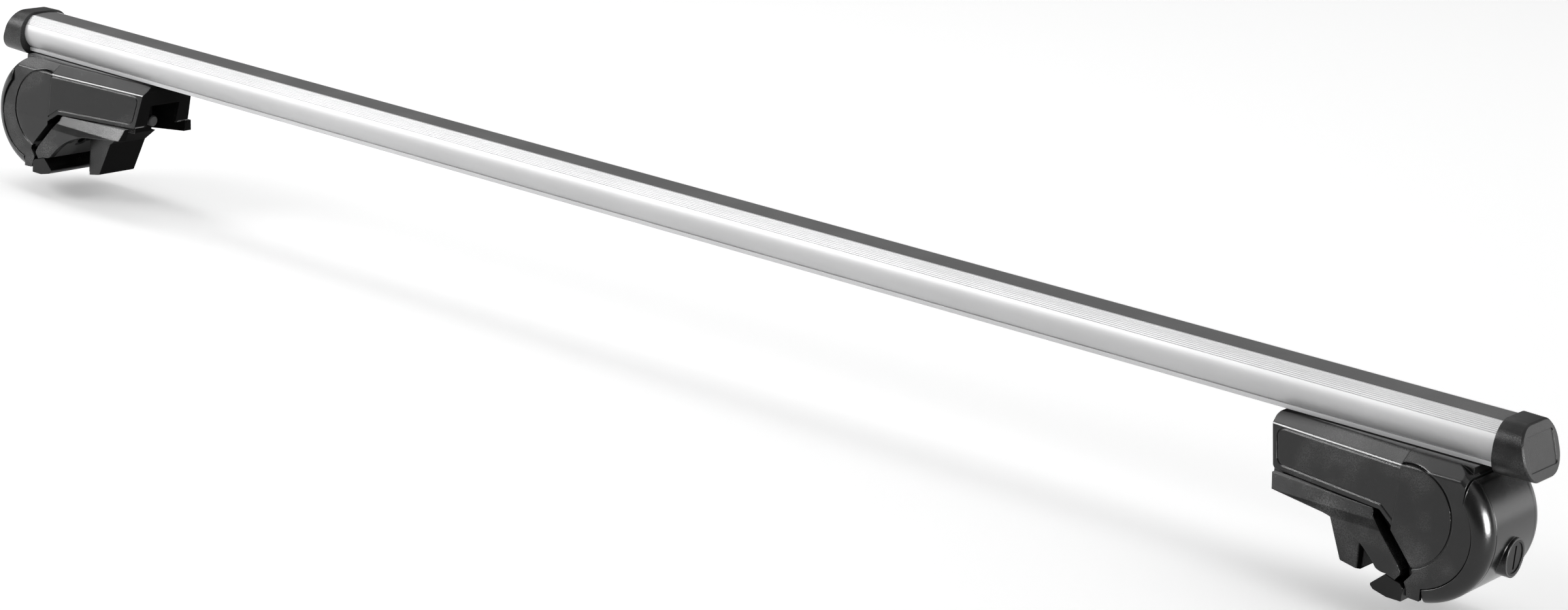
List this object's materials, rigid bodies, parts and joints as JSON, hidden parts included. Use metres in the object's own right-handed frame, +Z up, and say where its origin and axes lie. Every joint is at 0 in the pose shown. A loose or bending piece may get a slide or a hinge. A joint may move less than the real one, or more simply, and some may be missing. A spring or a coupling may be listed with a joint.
{
  "type": "roof rack crossbar",
  "caption": "Oval aluminium roof bar with a rubber top strip, capped ends and lockable plastic feet that slide along it and clamp a raised roof rail",
  "frame": {"origin": "on the floor under the middle of the bar, level with the lowest faces of the claws", "axes": "+X along the bar, +Y across the vehicle's length direction from front face to back face, +Z up"},
  "size_m": [1.2476, 0.0736, 0.1112],
  "materials": {
    "bar_aluminium": "satin anodised, fine grooves along the upper sides",
    "strip_rubber": "matt, smooth",
    "cap_plastic": "fine moulded grain",
    "foot_plastic": "fine moulded grain, soft sheen",
    "cover_plastic": "fine moulded grain, soft sheen",
    "lock_plastic": "smooth, slight gloss",
    "pad_rubber": "matt",
    "hook_metal": "black powder coat",
    "steel": "zinc plated"
  },
  "bodies": {
    "bar": {"bar_extrusion": "bar_aluminium", "top_strip": "strip_rubber", "end_cap_left": "cap_plastic", "end_cap_right": "cap_plastic"},
    "right_foot": {"right_foot_housing": "foot_plastic", "right_drum_housing": "foot_plastic", "right_cover_pin": "steel", "right_rail_saddle": "foot_plastic", "right_rail_pad": "pad_rubber", "right_rail_hook": "hook_metal", "right_tie_screws": "steel", "right_screw_washer": "steel", "right_slot_bolts": "steel", "right_slot_nuts": "steel"},
    "right_cover": {"right_lock_cover": "cover_plastic", "right_lock_barrel": "lock_plastic"},
    "right_lock": {"right_lock_plug": "lock_plastic", "right_lock_tongue": "steel"},
    "right_jaw": {"right_sliding_jaw": "foot_plastic", "right_jaw_pad": "pad_rubber", "right_jaw_nut": "steel"},
    "right_screw": {"right_clamp_screw": "steel"},
    "left_foot": {"left_foot_housing": "foot_plastic", "left_drum_housing": "foot_plastic", "left_cover_pin": "steel", "left_rail_saddle": "foot_plastic", "left_rail_pad": "pad_rubber", "left_rail_hook": "hook_metal", "left_tie_screws": "steel", "left_screw_washer": "steel", "left_slot_bolts": "steel", "left_slot_nuts": "steel"},
    "left_cover": {"left_lock_cover": "cover_plastic", "left_lock_barrel": "lock_plastic"},
    "left_lock": {"left_lock_plug": "lock_plastic", "left_lock_tongue": "steel"},
    "left_jaw": {"left_sliding_jaw": "foot_plastic", "left_jaw_pad": "pad_rubber", "left_jaw_nut": "steel"},
    "left_screw": {"left_clamp_screw": "steel"}
  },
  "joints": [
    {"name": "right_foot_slide", "type": "slide", "parent": "bar", "child": "right_foot", "axis": [-1, 0, 0], "range_m": [0, 0.2]},
    {"name": "right_cover_hinge", "type": "hinge", "parent": "right_foot", "child": "right_cover", "pos_m": [0.58021, 0, 0.00478], "axis": [0, 1, 0], "range_deg": [0, 70]},
    {"name": "right_lock_turn", "type": "hinge", "parent": "right_cover", "child": "right_lock", "pos_m": [0.61, 0, 0.031], "axis": [1, 0, 0], "range_deg": [0, 90]},
    {"name": "right_jaw_slide", "type": "slide", "parent": "right_foot", "child": "right_jaw", "axis": [-1, 0, 0], "range_m": [0, 0.027]},
    {"name": "right_screw_turn", "type": "hinge", "parent": "right_foot", "child": "right_screw", "pos_m": [0.55, 0, 0.052], "axis": [1, 0, 0], "continuous": true},
    {"name": "left_foot_slide", "type": "slide", "parent": "bar", "child": "left_foot", "axis": [1, 0, 0], "range_m": [0, 0.2]},
    {"name": "left_cover_hinge", "type": "hinge", "parent": "left_foot", "child": "left_cover", "pos_m": [-0.58021, 0, 0.00478], "axis": [0, -1, 0], "range_deg": [0, 70]},
    {"name": "left_lock_turn", "type": "hinge", "parent": "left_cover", "child": "left_lock", "pos_m": [-0.61, 0, 0.031], "axis": [-1, 0, 0], "range_deg": [0, 90]},
    {"name": "left_jaw_slide", "type": "slide", "parent": "left_foot", "child": "left_jaw", "axis": [1, 0, 0], "range_m": [0, 0.027]},
    {"name": "left_screw_turn", "type": "hinge", "parent": "left_foot", "child": "left_screw", "pos_m": [-0.55, 0, 0.052], "axis": [-1, 0, 0], "continuous": true}
  ],
  "couplings": [
    {"joint": "right_screw_turn", "follows": "right_jaw_slide", "rad_per_m": 5026.5},
    {"joint": "left_screw_turn", "follows": "left_jaw_slide", "rad_per_m": 5026.5}
  ]
}
